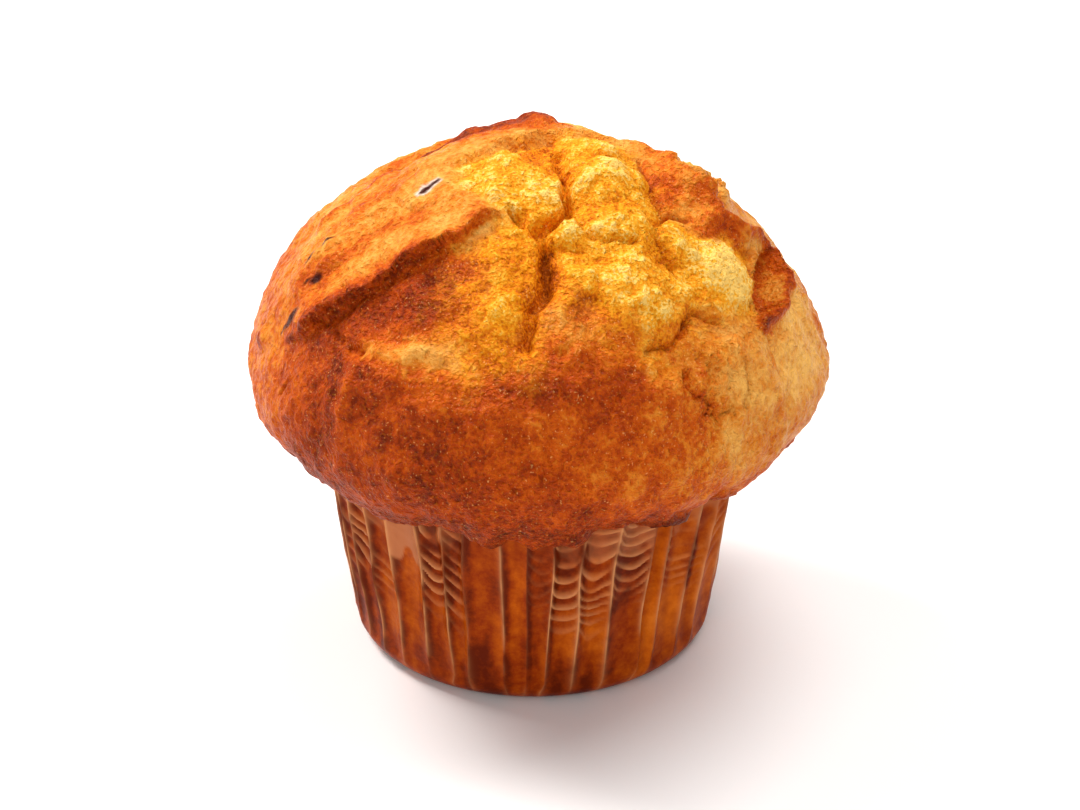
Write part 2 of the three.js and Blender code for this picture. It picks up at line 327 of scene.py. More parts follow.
def crease_depth(degrees, height):
    """Stacked smiles, from 0 to about 1: a saw-tooth up the wall whose phase sags by a parabola
    across each pleat, as strong as the pleat is creased, and strongest in the upper half."""
    number, share = pleat_at(degrees)
    sag = SMILE_DIP * (1.0 - (2.0 * share - 1.0) ** 2)
    lean = SMILE_LEAN * (2.0 * share - 1.0) * (2.0 * pleat_chance(number, 23) - 1.0)
    spacing = SMILE_SPACING * (0.75 + 0.5 * pleat_chance(number, 33))
    uneven = 0.8 * noise(number * 9.0, height, 0.0, 6.0, 25)
    uneven += 0.35 * noise(degrees, height, 0.0, 4.5, 24)
    tooth = ((height + sag + lean) / spacing + uneven) % 1.0
    wave = ease(0.0, 0.2, tooth) * fade(0.2, 0.65, tooth)
    wave = wave * np.clip(0.65 + 0.8 * noise(degrees / 2, height, 0.0, 3.0, 29), 0.1, 1.2)
    high_up = ease(9.0, 18.0, height + 3.0 * noise(number * 7.0, height, 0.0, 6.0, 22))
    strength = CREASED[number.astype(int)] * high_up * fade(28.5, 30.5, height)
    return strength * wave * ease(0.0, 0.10, 0.5 - np.abs(share - 0.5))


def wall_stray(degrees, height):
    """Dents of the wall from noise on a cylinder: slow ones every 7 mm and fine ones every 2.2."""
    turn = np.radians(degrees)
    x, y = BASE_RADIUS * np.sin(turn), BASE_RADIUS * np.cos(turn)
    dents = 0.22 * noise(x, y, height, 7.0, 31) + 0.07 * noise(x, y, height, 2.2, 32)
    return dents * ease(1.5, 6.0, height)


up_the_wall = crease_depth(np.full(99, -22.0), np.linspace(12, 28, 99)) * CREASE_DEPTH
print("creases of one pleat stand out by up to, mm:", up_the_wall.max().round(2))

# %% Grids and meshes
def ring_points(degrees, radius, height):
    """Points round the axis for angles counted in degrees from the front, -Y."""
    turn = np.radians(degrees) - math.pi / 2
    return np.stack([radius * np.cos(turn), radius * np.sin(turn), height], axis=-1)


def band_faces(rings):
    """Quads between rings of equal count that follow each other down a list, facing outwards
    where the list runs downwards."""
    after = np.roll(rings, -1, axis=1)
    quads = np.stack([rings[:-1], rings[1:], after[1:], after[:-1]], axis=-1)
    return quads.reshape(-1, 4)


def fan_faces(ring, pole):
    """Triangles from a ring to the point that closes it."""
    return np.stack([ring, np.roll(ring, -1), np.full(len(ring), pole)], axis=-1)


def make_mesh(name, points, face_groups, attributes):
    """A smooth-shaded object in metres from points in millimetres, with named point values."""
    mesh = bpy.data.meshes.new(name)
    faces = [face for group in face_groups for face in group.tolist()]
    mesh.from_pydata((points * MM).tolist(), [], faces)
    mesh.update()
    for label, values in attributes.items():
        layer = mesh.attributes.new(label, "FLOAT", "POINT")
        layer.data.foreach_set("value", np.asarray(values, np.float32))
    mesh.polygons.foreach_set("use_smooth", np.ones(len(mesh.polygons), bool))
    made = bpy.data.objects.new(name, mesh)
    bpy.context.collection.objects.link(made)
    triangles = sum(len(group) * (group.shape[1] - 2) for group in face_groups)
    print(name, "has", len(points), "points and", triangles, "triangles")
    return made


print("two rings of 4 make", len(band_faces(np.arange(8).reshape(2, 4))), "faces")

# %% The case's closed skin
ACROSS = 22  # points across a pleat, with one exactly on each crest
INNER_GAP = 0.3  # the hidden inner wall is smooth and stands back, clear of the creases
shares = np.arange(ACROSS) / ACROSS
CASE_ANGLES = (CRESTS[:-1, None] + np.diff(CRESTS)[:, None] * shares).ravel()
outer_levels = np.concatenate([np.linspace(0, 1, 8)[:-1], np.linspace(1, 2, 88)])
inner_levels = np.concatenate([np.linspace(2, 1, 14), [0.66, 0.33, 0.0]])
levels = np.concatenate([outer_levels, inner_levels])[::-1]
insets = np.concatenate([np.zeros(len(outer_levels)), np.full(len(inner_levels), PAPER)])[::-1]


def case_skin():
    """All rings of the skin, listed from the inner floor up and over to the outer foot."""
    degrees, level = np.meshgrid(CASE_ANGLES, levels)
    inset = np.broadcast_to(insets[:, None], level.shape)
    inside = inset > 0
    wall = ease(0.5, 1.0, level) * fade(1.85, 2.0, level)
    radius, height = case_section(degrees, level, inset + INNER_GAP * inside * wall)
    crease = crease_depth(degrees, height) * ~inside
    radius = radius + wall_stray(degrees, height) + CREASE_DEPTH * crease
    points = ring_points(leaned(degrees, level), radius, height)
    return degrees, height, crease, points


degrees, height, crease, points = case_skin()
poles = np.array([[0.0, 0.0, PAPER], [0.0, 0.0, 0.0]])
rings = np.arange(points[..., 0].size).reshape(points.shape[:2])
inner_fan = fan_faces(rings[0], rings.size)
outer_fan = fan_faces(rings[-1][::-1], rings.size + 1)
case_faces = [band_faces(rings), inner_fan, outer_fan]
print("the case is a skin of", rings.shape[0], "rings of", rings.shape[1], "points")

# %% Where the paper is dry, and where the cake glows through
number, share = pleat_at(degrees)
dry_down_to = 26.0 - 4.5 * pleat_value(DRY, degrees) + 2.5 * noise(degrees, height, 0.0, 3.0, 26)
dry = pleat_value(DRY, degrees) * ease(-0.6, 0.6, height - dry_down_to)
# Glow and painted shade: each pleat's own glow, less towards the foot as painted shade, less in one
# dark fruit stain at the right, and painted shade beside each crest and between creases.
STAIN_AT, STAIN_SIZE = (60.0, 16.0), (2.2, 5.5)  # degrees and mm up, half width and half height
# Less glow towards the foot: painted shade.
glow_and_painted_shade = 0.02 + 0.14 * ease(3, 10, height) + 0.50 * pleat_value(GLOWING, degrees)
glow_and_painted_shade += 0.18 * rough(degrees, height * 0.5, 0.0, 5.0, 27, 3)
glow_and_painted_shade -= 0.5 * fade(0.5, 1.0, oval(degrees, height, *STAIN_AT, *STAIN_SIZE))
# Painted shade just right of each crest, and a little painted light just left of the next.
glow_and_painted_shade -= 0.34 * fade(0.0, 0.35, share) * ease(2, 8, height) - 0.08 * ease(0.5, 1.0, share)
# Painted shade between the creases, under each pale smile.
glow_and_painted_shade -= 0.22 * fade(0.0, 0.4, crease) * pleat_value(CREASED, degrees) * ease(12, 19, height)
# Crest lines, a painted highlight: sharp high up, and faint broad painted highlight streaks near
# the foot.
sharpness = CREST_SHARPNESS[(number + (share > 0.5)).astype(int)]
high_up = ease(3, 13, height + 3.0 * noise(number * 7.0, height, 0.0, 5.0, 34))
line = fold_at(degrees) ** 6 * np.clip(0.45 + 0.55 * pleat_value(DEEP, degrees), 0, 1)
line *= sharpness * (0.25 + 0.75 * high_up)
line += 0.22 * fold_at(degrees) ** 2 * (1.0 - high_up)
line *= np.clip(0.66 + 0.7 * rough(degrees / 3, height, 0.0, 4.0, 28, 3), 0.1, 1.0)
case_values = {
    "crest": np.append(line.ravel(), [0, 0]),
    "crease": np.append(crease.ravel(), [0, 0]),
    "dry": np.append(dry.ravel(), [0, 0]),
    "glow_and_painted_shade": np.append(np.clip(glow_and_painted_shade, 0, 1).ravel(), [0, 0]),
}
case = make_mesh(
    "pleated_case", np.vstack([points.reshape(-1, 3), poles]), case_faces, case_values
)

# %% [markdown]
# ## The cake's plain shape
# Under its burst and lumps the cap is a dome. Its half section is two superellipses, which are
# ellipses with a power other than 2: one from the rim out to the widest part, one from there to
# the top. The dome's top is a square grid bent into a disc, because rings of points that shrink
# to a pole would waste most of the mesh there. A place on the cap is named by its distance from
# the top, measured over the surface, to the right and to the back, all in millimetres.

# %% The half section
CLEARANCE = 0.35
CAP_RADIUS, CAP_UNDERCUT, CROWN_RISE = 38.8, 10.4, 31.4
UNDER_POWER, CROWN_POWER = 1.95, 1.65
EDGE_WANDER = 0.7
WIDEST_HEIGHT = RIM_HEIGHT + CAP_UNDERCUT


def crown_section(samples=2001):
    """Distance from the top, radius, height and outward direction down the superellipse."""
    turn = np.linspace(math.pi / 2, 0.0, samples)
    radius = CAP_RADIUS * np.clip(np.cos(turn), 0, 1) ** (2 / CROWN_POWER)
    height = WIDEST_HEIGHT + CROWN_RISE * np.sin(turn) ** (2 / CROWN_POWER)
    run, drop = np.diff(radius), np.diff(height)
    arc = np.concatenate([[0.0], np.cumsum(np.hypot(run, drop))])
    out_r = np.interp(arc, arc[1:], -drop / np.hypot(run, drop))
    out_z = np.interp(arc, arc[1:], run / np.hypot(run, drop))
    return arc, radius, height, out_r, out_z


SECTION = crown_section()
CROWN_ARC = SECTION[0][-1]
print("from the top to the widest part, over the surface, mm:", round(CROWN_ARC, 1))


def edge_wander(turn):
    """Slow wander of the outline: two sines round the cake."""
    return EDGE_WANDER * (np.sin(3 * turn + 0.9) + 0.6 * np.sin(7 * turn + 2.2)) / 1.6


# %% A square grid bent into a disc
CELLS = 256


def disc_grid(cells):
    """Squares about the middle become circles, and the place along a side becomes the angle."""
    line = np.linspace(-1.0, 1.0, cells + 1)
    u, v = np.meshgrid(line, line)
    wide = np.abs(u) > np.abs(v)
    reach = np.where(wide, u, v)
    safe = np.where(reach == 0.0, 1.0, reach)
    turn = np.where(wide, math.pi / 4 * v / safe, math.pi / 2 - math.pi / 4 * u / safe)
    return reach * np.cos(turn), reach * np.sin(turn)


def rim_of_grid(cells):
    """The grid's border points in order, counterclockwise from above."""
    index = np.arange((cells + 1) ** 2).reshape(cells + 1, cells + 1)
    sides = [index[0, :-1], index[:-1, -1], index[-1, :0:-1], index[:0:-1, 0]]
    return np.concatenate(sides)


disc_x, disc_y = (axis.ravel() for axis in disc_grid(CELLS))
BORDER = rim_of_grid(CELLS)
print("grid points:", disc_x.size, "and border points:", BORDER.size)

# %% Plain cap: places, base points and outward directions
arc = np.hypot(disc_x, disc_y) * CROWN_ARC
crown_turn = np.arctan2(disc_y, disc_x)
crown_r, crown_z, crown_out_r, crown_out_z = (
    np.interp(arc, SECTION[0], column) for column in SECTION[1:]
)
crown_r = crown_r + edge_wander(crown_turn) * (crown_r / CAP_RADIUS) ** 2

border_turn = crown_turn[BORDER]
border_degrees = np.degrees(border_turn) + 90.0
UNDER_RINGS = 20
EDGE_OUT, EDGE_LIFT, EDGE_SAG = 0.9, 0.5, 0.9  # the edge against the rim, and its unevenness
# Where the batter ran over the rim: degrees from the front, half width in degrees, drop in mm.
DRIPS = [
    (-58, 7, 0.3), (-26, 9, 0.7), (-11, 5, 0.5), (7, 11, 0.9), (20, 4, 0.4), (32, 9, 0.7),
    (52, 6, 0.4), (72, 7, 0.4), (110, 9, 0.8), (150, 12, 1.0), (190, 9, 0.6), (225, 10, 1.0),
    (262, 8, 0.5),
]
ring_x, ring_y = np.cos(border_turn), np.sin(border_turn)
dropped = sum(
    drop * fade(0.2, 1.0, np.abs((border_degrees - at + 180) % 360 - 180) / half_width)
    for at, half_width, drop in DRIPS
)
edge_rough = rough(24 * ring_x, 24 * ring_y, 0.0, 5.0, 42, 2)
cap_edge_r = RIM_RADIUS + EDGE_OUT + 0.35 * noise(20 * ring_x, 20 * ring_y, 0.0, 5.0, 41)
cap_edge_r += 0.2 * dropped
cap_edge_z = RIM_HEIGHT + EDGE_LIFT - EDGE_SAG * (0.1 + 0.4 * edge_rough) - dropped
under_turn = np.radians(np.linspace(86, 3, UNDER_RINGS))[:, None]
share_out = np.sin(under_turn) ** (2 / UNDER_POWER)
share_down = np.cos(under_turn) ** (2 / UNDER_POWER)
under_r = cap_edge_r + (CAP_RADIUS + edge_wander(border_turn) - cap_edge_r) * share_out
under_z = WIDEST_HEIGHT - (WIDEST_HEIGHT - cap_edge_z) * share_down
under_steps = np.hypot(
    np.diff(under_r, axis=0, prepend=crown_r[BORDER][None]),
    np.diff(under_z, axis=0, prepend=crown_z[BORDER][None]),
)
under_arc = CROWN_ARC + np.cumsum(under_steps, axis=0)
under_out_r = np.broadcast_to(np.sin(under_turn), under_r.shape)
under_out_z = -np.broadcast_to(np.cos(under_turn), under_r.shape)


def joined(crown_values, under_values):
    """The crown's values followed by the underside's, as one long row."""
    return np.concatenate([np.ravel(crown_values), np.ravel(under_values)])


TURN = joined(crown_turn, np.broadcast_to(border_turn, under_r.shape))
ARC = joined(arc, under_arc)
BASE_R, BASE_Z = joined(crown_r, under_r), joined(crown_z, under_z)
OUT_R, OUT_Z = joined(crown_out_r, under_out_r), joined(crown_out_z, under_out_z)
X, Y = ARC * np.cos(TURN), ARC * np.sin(TURN)
BASE = np.stack([BASE_R * np.cos(TURN), BASE_R * np.sin(TURN), BASE_Z], axis=-1)
OUTWARD = np.stack([OUT_R * np.cos(TURN), OUT_R * np.sin(TURN), OUT_Z], axis=-1)
print("cap points:", len(BASE), "reach, mm:", ARC.max().round(1))

# %% [markdown]
# ## Where the crust burst
# A muffin bursts because its crust sets before its middle has finished rising. What is left of the
# crust lies round the opening as plates with torn, browned edges, and the crumb stands in it as
# soft lobes. The places of plates, lobes and splits are written down as outlines, ovals and paths.
# Noise then bends those places, so that no edge keeps the ruler's line it was drawn with.

# %% Places on the crown
# The outline of the opening, and how far its bed lies below the crust.
BURST = [
    (-9.5, -4), (-6, -2), (-2, 1), (2, 5), (8, 7), (13, 5), (14.5, 0), (17, -6), (18.5, -10),
    (22, -10.5), (27, -9), (31.5, -7), (33, -13), (33.5, -18), (30, -22), (25, -24.5),
    (22, -28.5), (18, -31.5), (10, -31), (4, -30), (1, -34), (-4, -37), (-8, -38), (-12, -35),
    (-10.5, -28), (-9.0, -21), (-3.0, -15.2), (-9.5, -10.5),
]
BURST_DEPTH = 2.1
# Each lobe: right, back, half width, half length, height above the bed of the burst.
CRUMB_LOBES = [
    (-4.5, -9, 8.0, 9.0, 2.9), (0.6, -11.5, 4.2, 8, 2.4), (9.5, 1, 7.5, 7.5, 2.6),
    (11, -6.5, 7.5, 8.5, 3.2), (12.5, -14.5, 7.5, 8.5, 2.7), (5.2, -17.5, 4.4, 4.8, 2.6),
    (15.5, -25, 8.2, 8.2, 3.3), (7.5, -24.3, 5.4, 6, 2.2), (22, -23.5, 3.8, 3.6, 2.4),
    (27, -15, 8.5, 9, 3.2), (20.5, -14.5, 6, 6.5, 2.3), (-6.5, -24, 9, 17, 2.3),
    (3, -5, 3.4, 4.4, 1.2), (17.5, -8, 3, 4.0, 1.5), (25, -21, 4.4, 4.0, 1.7),
    (4.5, -30, 6.0, 4, 1.6), (11, -31, 6.0, 4, 1.8),
]
# Splits between the lobes: path, half width and depth.
SPLITS = [
    ([(3.8, -1), (4.1, -8), (4.4, -12), (5.2, -14), (3.4, -15.6)], 1.5, 1.9),
    ([(4.0, -11), (5.2, -13.8), (3.4, -15.6)], 0.6, 1.2),
    ([(-2.8, -14.2), (-1.4, -16.6)], 0.7, 1.4),
    ([(3.4, -15.6), (0.6, -18), (1.8, -21), (2.0, -27), (0, -29), (-0.7, -34)], 1.6, 1.6),
    ([(3.0, -20), (4.2, -22.5)], 0.5, 0.9),
    ([(14.5, 2), (16, -5), (18, -9.5), (21, -9)], 0.8, 1.2),
    ([(18.5, -10), (17, -15), (19.5, -19)], 0.7, 0.9),
    ([(4.8, -13.2), (7.5, -16.2), (10.5, -18.5), (13.5, -18)], 0.7, 0.9),
    ([(33, -7.5), (33.6, -12), (33.4, -17.5)], 0.5, 0.8),
    ([(-1.5, -3.5), (1.5, -4.5), (3.8, -4)], 0.5, 0.7),
    ([(16.5, -32.2), (20.5, -30), (23, -26.5)], 0.9, 1.1),
    ([(23.6, -25.2), (26, -24.2), (28, -23)], 0.8, 0.9),
    ([(27, -38), (29.5, -36.8), (32.5, -35.5)], 0.45, 0.6),
    ([(-30, -24), (-26.5, -28.5), (-25.5, -30.5)], 0.9, 0.7),
    ([(-42, -25), (-39.5, -24.6)], 0.5, 0.5),
    ([(-27, -18.5), (-25.8, -22)], 0.8, 0.8),
    ([(22.5, -34), (25, -36.2), (28.5, -36), (30, -38.5)], 0.6, 0.6),
    ([(33, -28), (35, -30.5), (34.5, -33)], 0.6, 0.5),
    ([(-20, -4), (-17, -9.5), (-13.5, -12)], 0.4, 0.45),
    ([(-23, -2), (-19, 0.5), (-15.5, 0)], 0.4, 0.4),
]
# The rim of the curled flap, and the hollow behind it.
FLAP_EDGE = [
    (13.5, 8), (18, 3), (21, -2.5), (25, -6), (29.5, -5), (32.5, -1.5), (36, -0.5), (38.8, -4),
    (39.4, -10), (37.5, -15.5), (34.8, -19.5),
]
FLAP_HEIGHT, FLAP_REACH = 2.2, 2.8
HOLLOW = (35.4, -9, 2.7, 8.6)
HOLLOW_DEPTH = 3.1
# A block of torn crust behind the flap: right, back, half width, half length.
BLOCK = (22.5, 3, 6.5, 8.5)
# The lifted lip of the left plate, whose torn edge stands over the slope in front of it.
PLATE_EDGE = [
    (-48, -13), (-41, -17.4), (-37.5, -19.2), (-32.5, -20.8), (-26, -21.4), (-21, -20.7),
    (-17, -19.8), (-13, -19.8), (-9.5, -18.8), (-6.5, -16.4), (-2.5, -14),
]
PLATE_STEP, PLATE_FADE = 1.8, 6.0
# The far side of the burst, a low ridge of torn crust.
BACK_RIDGE = [
    (-30, 1), (-25, 4.5), (-20.5, 7), (-15, 8.5), (-10, 10.5), (-4, 11.5), (0, 12.5), (7, 12),
]
# Low swellings of the crust: right, back, half width, half length, height.
SWELLINGS = [
    (0.6, 11.5, 3, 4.5, 1.3), (-45.5, -10, 2.2, 2.2, 0.9), (-30, -20.5, 1.7, 1.2, 0.6),
    (-33.8, -19.5, 2, 1.4, 0.6), (24, 1, 7, 8, 0.7), (-33, -6, 12, 9, 0.8),
    (-25.5, -34, 9, 4, 0.9), (34, -27, 9, 7, 0.8),
]
# Where the crown sank behind the burst, in the same order.
DIPS = [(10, 13.5, 11, 7, 1.7), (-17, 9.5, 10, 6, 1.6)]
# A soft fold in the crust below the slope, like a lying Y.
FOLD_PATHS = [
    [
        (-31, -36), (-28.5, -34), (-25.5, -30.5), (-21, -31.5), (-16, -33.5), (-12, -34.5),
        (-8, -37.8),
    ],
    [(-25.5, -30.5), (-27.5, -27.5)],
]
print(len(CRUMB_LOBES), "lobes,", len(SPLITS), "splits,", len(SWELLINGS), "swellings")

# %% Bent places
def bent(places, seed):
    """Places strayed by noise: up to 0.8 mm every 4 mm, and up to 0.35 mm every 1.4 mm."""
    return places + 0.8 * noise(X, Y, 0.0, 4.0, seed) + 0.35 * noise(X, Y, 0.0, 1.4, seed + 1)


def bell(away, width):
    """1 on a line and fading to both sides like a bell: e to minus the squared distance."""
    return np.exp(-((away / width) ** 2))


BENT_X, BENT_Y = bent(X, 51), bent(Y, 53)
BURST_IN = depth_inside(BURST, BENT_X, BENT_Y)
BORDER_WIDTH = 0.8 + 4.2 * ease(15, 27, -Y)  # torn at the back, run together at the front
OPENED = ease(-1.0, 1.0, BURST_IN / BORDER_WIDTH)
BEHIND_EDGE = BENT_Y - np.interp(BENT_X, *np.array(PLATE_EDGE).T)
PLATE_EXTENT = ease(-43, -29, X) * fade(-7, -2, X)
FLAP_AWAY = path_distance(FLAP_EDGE, BENT_X, BENT_Y)
HOLLOW_AWAY = oval(BENT_X, BENT_Y, *HOLLOW)
IN_HOLLOW = fade(0.62, 1.05, HOLLOW_AWAY)
IN_BLOCK = fade(0.7, 1.05, oval(BENT_X, BENT_Y, *BLOCK))
FOLD_AWAY = np.minimum(*(path_distance(path, BENT_X, BENT_Y) for path in FOLD_PATHS))
print("share of the cap that burst open:", round(float(OPENED.mean()), 3))


# %% Height of the lobes
def lobe_height(lobes, x, y, melt=0.3):
    """Mounds, each 1 minus the squared distance, run together: the log of a sum of powers."""
    total = np.ones_like(x)
    for right, back, half_width, half_length, height in lobes:
        away = oval(x, y, right, back, half_width, half_length)
        total += np.exp(height * np.clip(1.0 - away**2, 0.0, 1.0) / melt) - 1.0
    return melt * np.log(total)


def patched(patches, x, y):
    """The sum of soft ovals, each fading from its middle to its edge."""
    return sum(
        amount * fade(0.25, 1.0, oval(x, y, right, back, half_width, half_length))
        for right, back, half_width, half_length, amount in patches
    )


LOBES = lobe_height(CRUMB_LOBES, BENT_X, BENT_Y)
PUFFED = puffs(*BASE.T, 4.6, 61, 4)
TORN_CRUMB = puffs(*BASE.T, 1.7, 66, 2)
CRUMBLE = 0.8 * PUFFED + 0.4 * TORN_CRUMB + 0.22 * rough(*BASE.T, 1.2, 67, 2)
SPLIT_CUT = sum(
    depth * fade(0.0, half_width, path_distance(path, BENT_X, BENT_Y))
    for path, half_width, depth in SPLITS
)
crumb_relief = LOBES - BURST_DEPTH + CRUMBLE
OPEN_FROM = 0.9
print("lowest open crumb:", crumb_relief[OPENED > OPEN_FROM].min().round(1), "mm from the crust")

# %% Height of the crust
FACING = (np.degrees(TURN) + 270.0) % 360.0 - 180.0  # degrees from the front, to the right
RUMPLED = patched([(26, -32, 12, 9, 1.0), (8, -36, 10, 5, 0.6), (-24, -28, 8, 6, 0.7)], X, Y)
LEATHERY = patched([(-26, -8, 18, 11, 1.0), (-38, -30, 12, 14, 0.7), (34, -22, 12, 16, 0.7)], X, Y)
GRAIN = 0.15 * rough(*BASE.T, 1.3, 71, 2) + (0.28 + 0.30 * LEATHERY) * puffs(*BASE.T, 2.6, 76, 3)
SWELL = 0.55 * noise(*BASE.T, 11.0, 73) + 0.30 * rough(*BASE.T, 4.5, 74, 2)
SETTLED = fade(CROWN_ARC - 7, CROWN_ARC, ARC)
# The lip: up steeply at its edge, fading out behind it, with a shallow dip in front of it.
uneven_step = 0.9 + 0.3 * noise(X, Y, 0.0, 7.0, 78)
step_back = np.tanh(BEHIND_EDGE / 0.35) * np.exp(-np.abs(BEHIND_EDGE) / PLATE_FADE)
plate_step = uneven_step * np.where(BEHIND_EDGE > 0, step_back, 0.15 * step_back)
# Torn bands: along the lip, the flap and the ridge.
BAND_WIDTH = 2.6 + 1.5 * rough(BENT_X, BENT_Y, 0.0, 2.6, 79, 3) - 1.0 * ease(-14, -5, X)
band_fade = fade(0.0, 1.5, BEHIND_EDGE / BAND_WIDTH)
PLATE_BAND = PLATE_EXTENT * ease(-0.7, 0.1, BEHIND_EDGE) * band_fade**1.3
flap_reach = FLAP_REACH * (1.0 - 0.5 * ease(28, 34, X))
FLAP_BAND = fade(0.0, 1.0, FLAP_AWAY / flap_reach) * (1.0 - IN_HOLLOW)
RIDGE_BAND = bell(path_distance(BACK_RIDGE, BENT_X, BENT_Y), 1.6)
TORN = np.clip(PLATE_BAND + 0.8 * FLAP_BAND, 0.0, 1.0)
torn_lumps = (0.3 + 0.9 * fade(-30, -22, X)) * puffs(*BASE.T, 2.4, 81, 3)
side_lumps = 0.5 * puffs(*BASE.T, 5.0, 86, 3) + 1.1 * RUMPLED * puffs(*BASE.T, 3.0, 87, 3)
crust_relief = (
    lobe_height(SWELLINGS, X, Y)
    + SETTLED * PLATE_STEP * PLATE_EXTENT * plate_step
    + TORN * (torn_lumps + 0.2 * clumps(X, Y, 1.1, 83) - 0.1)
    + IN_BLOCK * (0.9 + 1.2 * puffs(*BASE.T, 2.2, 85, 3))
    + ease(20, 34, ARC) * side_lumps
    + RIDGE_BAND * (0.3 + 0.9 * noise(X, Y, 0.0, 5.0, 84))
    + 0.35 * bell(FOLD_AWAY, 1.0)
    + SWELL
    + GRAIN
)
relief = crust_relief * (1.0 - OPENED) + crumb_relief * OPENED
flap_rise = ease(12, 24, X) * (1.0 - 0.85 * ease(29, 37, X))
relief += SETTLED * FLAP_HEIGHT * FLAP_BAND * (0.25 + 0.75 * flap_rise)
# Sugary drops on the lower edge: degrees from the front, height, half width, half height, how far
# they stand out and how dark they are.
DROPS = [
    (33, 30.6, 2.6, 1.6, 1.3, 0.7), (27, 30.4, 1.6, 1.2, 0.8, 0.35), (9, 30.4, 2.8, 1.5, 0.9, 0.2),
    (-9, 30.2, 1.9, 1.3, 0.9, 0.35), (-34, 30.8, 2.4, 1.5, 0.7, 0.15),
    (46, 31.4, 2.4, 1.6, 0.9, 0.25), (75, 31.5, 2.0, 1.4, 0.8, 0.2),
    (-70, 31.6, 2.2, 1.5, 0.8, 0.3), (140, 30.8, 2.4, 1.5, 1.0, 0.4),
    (200, 30.6, 2.0, 1.4, 0.8, 0.3), (245, 30.9, 2.4, 1.5, 0.9, 0.2),
]
dropped_on, dropped_dark = np.zeros_like(X), np.zeros_like(X)
for at, z, half_width, half_height, stand, dark in DROPS:
    around = np.radians((FACING - at + 180.0) % 360.0 - 180.0) * BASE_R
    mound = np.clip(1.0 - oval(around, BASE_Z, 0.0, z, half_width, half_height) ** 2, 0.0, 1.0)
    dropped_on += stand * np.sqrt(mound)
    dropped_dark = np.maximum(dropped_dark, dark * ease(0.0, 0.4, mound))
relief += dropped_on
UNDER_EDGE = ease(CROWN_ARC + 4, CROWN_ARC + 12, ARC)
relief += UNDER_EDGE * (1.2 * puffs(*BASE.T, 5.5, 88, 3) - 0.1)
relief -= patched(DIPS, X, Y)
relief -= SPLIT_CUT + SETTLED * HOLLOW_DEPTH * IN_HOLLOW
# The torn edges hang over what is in front of them.
overhang = PLATE_EXTENT * ease(-0.6, 0.6, BEHIND_EDGE) * np.exp(-np.abs(BEHIND_EDGE) / 2.2)
print("relief from", relief.min().round(1), "to", relief.max().round(1), "mm")

# %% The cake's closed skin
OVERHANG = 0.6
# The foot stands this much further in than its clearance, and the cap this much over the rim.
FOOT_GAP, RIM_CLEAR = 0.5, 0.25
CAP_POINTS = BASE + OUTWARD * relief[:, None]
CAP_POINTS[:, 1] -= OVERHANG * overhang
foot_levels = np.array([2.0, 1.9, 1.7, 1.45, 1.2, 1.0, 0.6, 0.2, 0.0])


def foot_rings():
    """From the cap's inner edge, over the case's rim and down inside the paper to the floor."""
    outside_r, outside_z = case_section(border_degrees, np.full(BORDER.shape, 2.0), -CLEARANCE / 2)
    over = [ring_points(border_degrees, outside_r, outside_z + RIM_CLEAR)]
    for level in foot_levels:
        r, z = case_section(border_degrees, np.full(BORDER.shape, level), PAPER + CLEARANCE)
        r = r - FOOT_GAP * min(1.0, 2.0 - level)
        lift = RIM_CLEAR if level == 2.0 else 0.0
        over.append(ring_points(leaned(border_degrees, level), r, z + lift))
    return np.stack(over)


foot = foot_rings()
cap_count, per_ring = len(CAP_POINTS), BORDER.size
under_index = np.arange(disc_x.size, cap_count).reshape(-1, per_ring)
foot_index = cap_count + np.arange(foot[..., 0].size).reshape(-1, per_ring)
skirt = np.vstack([BORDER[None], under_index, foot_index])
grid = np.arange(disc_x.size).reshape(CELLS + 1, CELLS + 1)
crown_quads = np.stack([grid[:-1, :-1], grid[:-1, 1:], grid[1:, 1:], grid[1:, :-1]], axis=-1)
centre = cap_count + foot_index.size
bottom_fan = fan_faces(skirt[-1][::-1], centre)
cake_faces = [crown_quads.reshape(-1, 4), band_faces(skirt), bottom_fan]
cake_points = np.vstack([CAP_POINTS, foot.reshape(-1, 3), [[0.0, 0.0, PAPER + CLEARANCE]]])
print("cake from", cake_points.min(0).round(1), "to", cake_points.max(0).round(1))

# %% [markdown]
# ## How baked each place is
# Colour in baked goods is heat. Thin edges that stood up brown first, the outside tans, and crumb
# that only met the air late stays yellow. Painting it by hand would work too, but the shape knows
# its own edges, hollows and bands. So the mesh carries numbers and not colours: how brown the crust
# is, how much of a place is open crumb, how light that crumb is, how much of it is a stain, and
# how much a seed's pale husk. Some of the browning and lightness is painted shade and light: shade
# under the lip, on the back ridge, under the cap, in the hollow and in the crumb's cracks, and
# light on the right side and on the crumb's lumps. The material turns those numbers into colours.

# %% Browning
right_fade = 1.0 - 0.85 * ease(8, 46, FACING) * (1.0 - 0.3 * ease(110, 180, FACING))
left_fade = 1.0 - 0.5 * ease(45, 80, -FACING)
